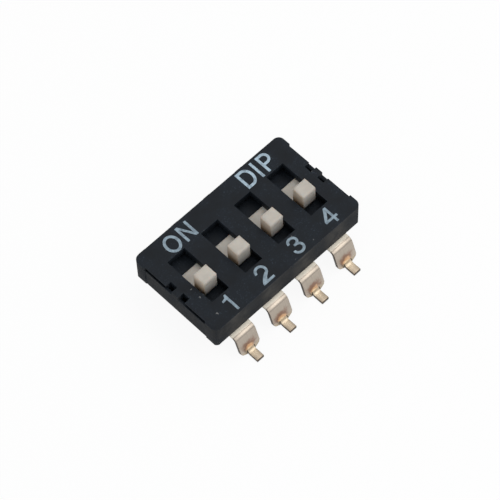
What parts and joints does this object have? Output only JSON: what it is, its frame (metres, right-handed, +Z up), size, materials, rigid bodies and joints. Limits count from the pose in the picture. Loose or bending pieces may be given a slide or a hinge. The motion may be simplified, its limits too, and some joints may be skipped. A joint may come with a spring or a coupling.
{
  "type": "dip switch",
  "caption": "Small black board-mounted switch block with a row of pale sliding actuators in slots, spring contacts inside and flat bent leads along both long sides.",
  "frame": {"origin": "centre of the footprint, on the plane that the solder feet stand on", "axes": "+X along the row from position 1 to position 4, +Y across it towards the closed side, +Z up from the board"},
  "size_m": [0.0112, 0.0096, 0.0044],
  "materials": {
    "cover_plastic": "satin, fine eroded texture on the end walls",
    "base_plastic": "satin",
    "slider_plastic": "satin",
    "contact_metal": "gold plated, smooth",
    "terminal_metal": "pale gold plated, softly brushed",
    "legend_ink": "thin printed ink, matt, slightly uneven"
  },
  "bodies": {
    "housing": {"cover": "cover_plastic", "base": "base_plastic", "terminal_1": "terminal_metal", "terminal_2": "terminal_metal", "terminal_3": "terminal_metal", "terminal_4": "terminal_metal", "terminal_5": "terminal_metal", "terminal_6": "terminal_metal", "terminal_7": "terminal_metal", "terminal_8": "terminal_metal"},
    "slide_1": {"slider_1": "slider_plastic", "contact_1": "contact_metal"},
    "slide_2": {"slider_2": "slider_plastic", "contact_2": "contact_metal"},
    "slide_3": {"slider_3": "slider_plastic", "contact_3": "contact_metal"},
    "slide_4": {"slider_4": "slider_plastic", "contact_4": "contact_metal"}
  },
  "joints": [
    {"name": "switch_1", "type": "slide", "parent": "housing", "child": "slide_1", "axis": [0, 1, 0], "range_m": [0, 0.00105]},
    {"name": "switch_2", "type": "slide", "parent": "housing", "child": "slide_2", "axis": [0, 1, 0], "range_m": [0, 0.00105]},
    {"name": "switch_3", "type": "slide", "parent": "housing", "child": "slide_3", "axis": [0, 1, 0], "range_m": [0, 0.00105]},
    {"name": "switch_4", "type": "slide", "parent": "housing", "child": "slide_4", "axis": [0, 1, 0], "range_m": [0, 0.00105]}
  ]
}
